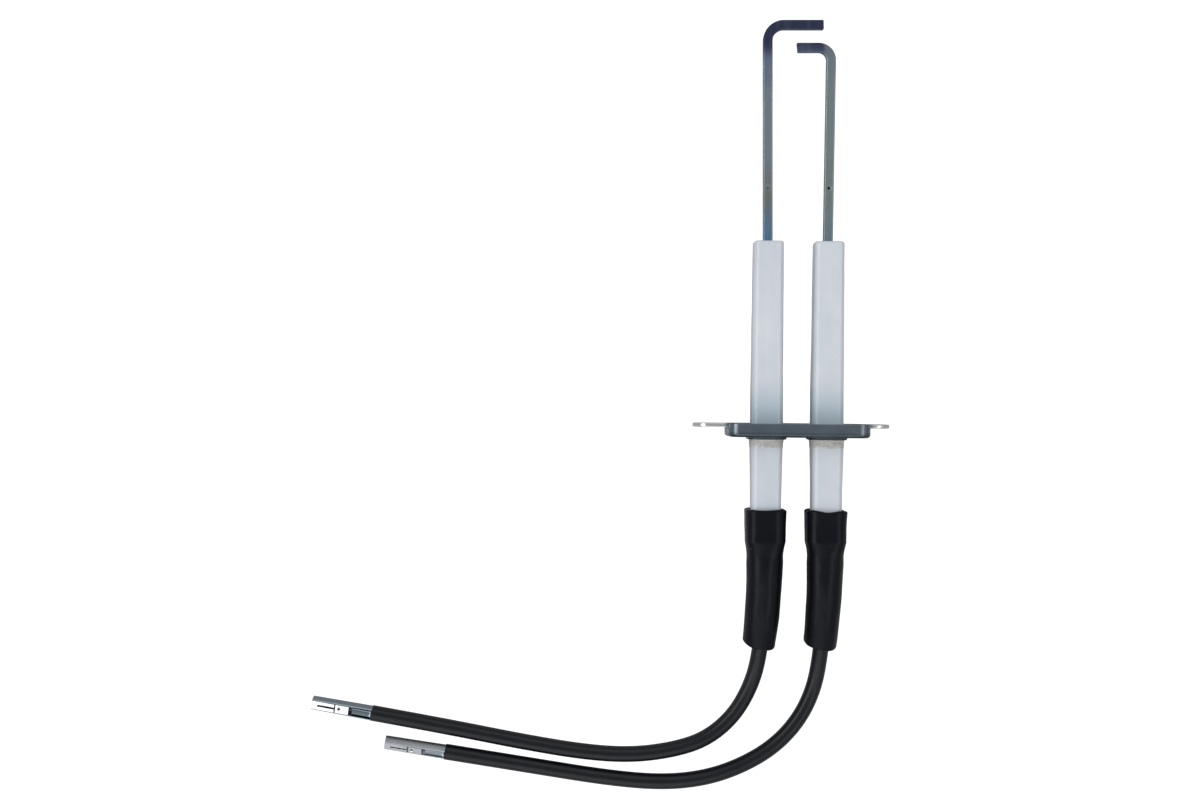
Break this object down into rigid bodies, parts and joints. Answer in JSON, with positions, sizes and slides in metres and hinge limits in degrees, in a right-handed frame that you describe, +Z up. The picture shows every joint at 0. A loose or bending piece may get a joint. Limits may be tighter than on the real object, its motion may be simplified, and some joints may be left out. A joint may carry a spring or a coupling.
{
  "type": "ignition electrode",
  "caption": "Twin spark ignition electrode: bent rods in square ceramic insulators, cemented in a pressed steel flange, with rubber boots and flexible leads ending in tab receptacles.",
  "frame": {"origin": "centre of the flange's electrode-side face, midway between the two insulators", "axes": "+Y along the electrodes towards their tips, +Z up from the bench the unit lies on, +X towards the flange's short ear"},
  "size_m": [0.1447, 0.1943, 0.018],
  "materials": {
    "flange_steel": "zinc plated and grey passivated, satin",
    "cement": "matt refractory cement",
    "insulator_ceramic": "clear glaze over white alumina",
    "electrode_metal": "heat-tinted iron-chromium alloy",
    "splice_brass": "plain",
    "boot_rubber": "satin silicone rubber",
    "jacket_rubber": "satin silicone rubber",
    "conductor_metal": "tinned copper strands",
    "terminal_tin": "bright tin plate"
  },
  "bodies": {
    "root": {"mounting_flange": "flange_steel", "tray_cement": "cement", "insulator_left": "insulator_ceramic", "electrode_left": "electrode_metal", "front_cement_left": "cement", "rear_cement_left": "cement", "collar_cement_left": "cement", "crimp_splice_left": "splice_brass", "boot_left": "boot_rubber", "lead_jacket_left": "jacket_rubber", "conductor_left": "conductor_metal", "terminal_left": "terminal_tin", "insulator_right": "insulator_ceramic", "electrode_right": "electrode_metal", "front_cement_right": "cement", "rear_cement_right": "cement", "collar_cement_right": "cement", "crimp_splice_right": "splice_brass", "boot_right": "boot_rubber", "lead_jacket_right": "jacket_rubber", "conductor_right": "conductor_metal", "terminal_right": "terminal_tin"}
  },
  "joints": []
}
